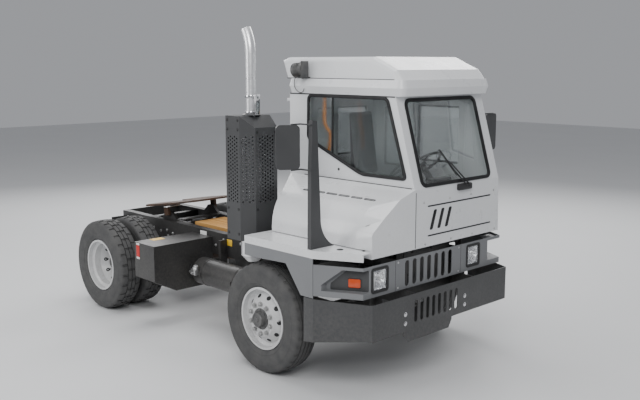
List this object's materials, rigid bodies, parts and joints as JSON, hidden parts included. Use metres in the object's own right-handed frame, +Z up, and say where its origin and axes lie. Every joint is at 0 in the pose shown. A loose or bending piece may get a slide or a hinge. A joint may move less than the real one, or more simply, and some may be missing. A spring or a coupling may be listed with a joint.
{
  "type": "terminal tractor",
  "caption": "Single-axle terminal tractor with an offset tilting cab, side engine cover, exhaust guard, plank deck and a lifting fifth wheel.",
  "frame": {"origin": "on the ground, midway along and across the vehicle's box", "axes": "+X forward, +Y to the vehicle's left, +Z up"},
  "size_m": [4.892, 2.8206, 3.2324],
  "materials": {
    "cab_paint": "gloss",
    "frame_black": "satin",
    "fascia_gray": "satin",
    "guard_dark": "satin",
    "tyre_rubber": "matte",
    "rim_gray": "satin",
    "stack_chrome": "polished",
    "wood": "matte",
    "glass": "clear",
    "lamp_clear": "gloss",
    "seat_fabric": "matte",
    "trim_black": "matte",
    "cast_dark": "matte",
    "rod_steel": "polished"
  },
  "bodies": {
    "chassis": {"air_tank": "frame_black", "battery_box": "frame_black", "bumper": "guard_dark", "cab_rest": "frame_black", "crossmembers": "frame_black", "deck_left": "cab_paint", "deck_right": "cab_paint", "driveline": "cast_dark", "engine": "cast_dark", "exhaust_guard": "guard_dark", "exhaust_stack": "stack_chrome", "fascia": "fascia_gray", "fender_left": "fascia_gray", "fender_right": "fascia_gray", "front_axle": "frame_black", "front_brackets": "frame_black", "front_lamps": "lamp_clear", "fuel_tank": "frame_black", "leaf_springs": "frame_black", "lift_beam": "frame_black", "mirror_right": "guard_dark", "plank_deck": "wood", "radiator": "cast_dark", "rail_left": "frame_black", "rail_right": "frame_black", "rear_axle": "frame_black"},
    "cab": {"cab_floor": "cab_paint", "cab_front_panel": "cab_paint", "cab_rear_wall": "cab_paint", "cab_roof": "cab_paint", "cab_side_left": "cab_paint", "cab_side_right": "cab_paint", "engine_cover": "cab_paint", "cab_glass": "glass", "seat_base": "frame_black", "seat_pads": "seat_fabric", "dashboard": "trim_black", "steering_column": "trim_black", "mirror_left": "guard_dark"},
    "door_left": {"door_left": "cab_paint", "door_glass": "glass"},
    "rear_door": {"rear_door": "cab_paint", "rear_door_glass": "glass"},
    "steering_wheel": {"steering_wheel": "trim_black"},
    "knuckle_left": {"knuckle_left": "frame_black"},
    "knuckle_right": {"knuckle_right": "frame_black"},
    "tie_rod": {"tie_rod": "frame_black"},
    "wheel_front_left": {"tyre_front_left": "tyre_rubber", "rim_front_left": "rim_gray"},
    "wheel_front_right": {"tyre_front_right": "tyre_rubber", "rim_front_right": "rim_gray"},
    "wheel_rear_left": {"tyre_rear_left": "tyre_rubber", "rim_rear_left": "rim_gray"},
    "wheel_rear_right": {"tyre_rear_right": "tyre_rubber", "rim_rear_right": "rim_gray"},
    "boom": {"boom": "frame_black"},
    "fifth_wheel": {"fifth_wheel": "cast_dark"},
    "lift_barrels": {"lift_barrels": "frame_black"},
    "lift_rods": {"lift_rods": "rod_steel"}
  },
  "joints": [
    {"name": "cab_tilt", "type": "hinge", "parent": "chassis", "child": "cab", "pos_m": [2.26, 0, 1.205], "axis": [0, 1, 0], "range_deg": [0, 45]},
    {"name": "door_left_hinge", "type": "hinge", "parent": "cab", "child": "door_left", "pos_m": [1.923, 1.014, 1.9], "axis": [0, 0, -1], "range_deg": [0, 75]},
    {"name": "rear_door_slide", "type": "slide", "parent": "cab", "child": "rear_door", "axis": [0, -1, 0], "range_m": [0, 0.59]},
    {"name": "steer_left", "type": "hinge", "parent": "chassis", "child": "knuckle_left", "pos_m": [1.22, 0.87, 0.526], "axis": [0, 0, 1], "range_deg": [-40, 40]},
    {"name": "steer_right", "type": "hinge", "parent": "chassis", "child": "knuckle_right", "pos_m": [1.22, -0.87, 0.526], "axis": [0, 0, 1], "range_deg": [-40, 40]},
    {"name": "tie_rod_pin", "type": "hinge", "parent": "knuckle_left", "child": "tie_rod", "pos_m": [1.03, 0.812, 0.425], "axis": [0, 0, 1], "range_deg": [-40, 40]},
    {"name": "steering_wheel_turn", "type": "hinge", "parent": "cab", "child": "steering_wheel", "pos_m": [1.86, 0.35, 1.9], "axis": [-0.6508, 0, 0.7593], "range_deg": [-720, 720]},
    {"name": "boom_lift", "type": "hinge", "parent": "chassis", "child": "boom", "pos_m": [-0.4, 0, 0.88], "axis": [0, 1, 0], "range_deg": [0, 22]},
    {"name": "fifth_wheel_tilt", "type": "hinge", "parent": "boom", "child": "fifth_wheel", "pos_m": [-1.54, 0, 1.075], "axis": [0, 1, 0], "range_deg": [-3, 18]},
    {"name": "lift_barrel_swing", "type": "hinge", "parent": "chassis", "child": "lift_barrels", "pos_m": [-1.26, 0, 0.4], "axis": [0, 1, 0], "range_deg": [0, 9.3]},
    {"name": "lift_rod_slide", "type": "slide", "parent": "lift_barrels", "child": "lift_rods", "axis": [-0.1414, 0, 0.9899], "range_m": [0, 0.341]},
    {"name": "spin_front_left", "type": "hinge", "parent": "knuckle_left", "child": "wheel_front_left", "pos_m": [1.22, 1.0675, 0.526], "axis": [0, 1, 0], "continuous": true},
    {"name": "spin_front_right", "type": "hinge", "parent": "knuckle_right", "child": "wheel_front_right", "pos_m": [1.22, -1.0675, 0.526], "axis": [0, 1, 0], "continuous": true},
    {"name": "spin_rear_left", "type": "hinge", "parent": "chassis", "child": "wheel_rear_left", "pos_m": [-1.726, 0.9, 0.526], "axis": [0, 1, 0], "continuous": true},
    {"name": "spin_rear_right", "type": "hinge", "parent": "chassis", "child": "wheel_rear_right", "pos_m": [-1.726, -0.9, 0.526], "axis": [0, 1, 0], "continuous": true}
  ],
  "couplings": [
    {"joint": "steer_right", "follows": "steer_left", "ratio": 1},
    {"joint": "tie_rod_pin", "follows": "steer_left", "ratio": -1},
    {"joint": "steering_wheel_turn", "follows": "steer_left", "ratio": 18},
    {"joint": "lift_barrel_swing", "follows": "boom_lift", "ratio": 0.4223},
    {"joint": "lift_rod_slide", "follows": "boom_lift", "m_per_rad": 0.8876}
  ]
}
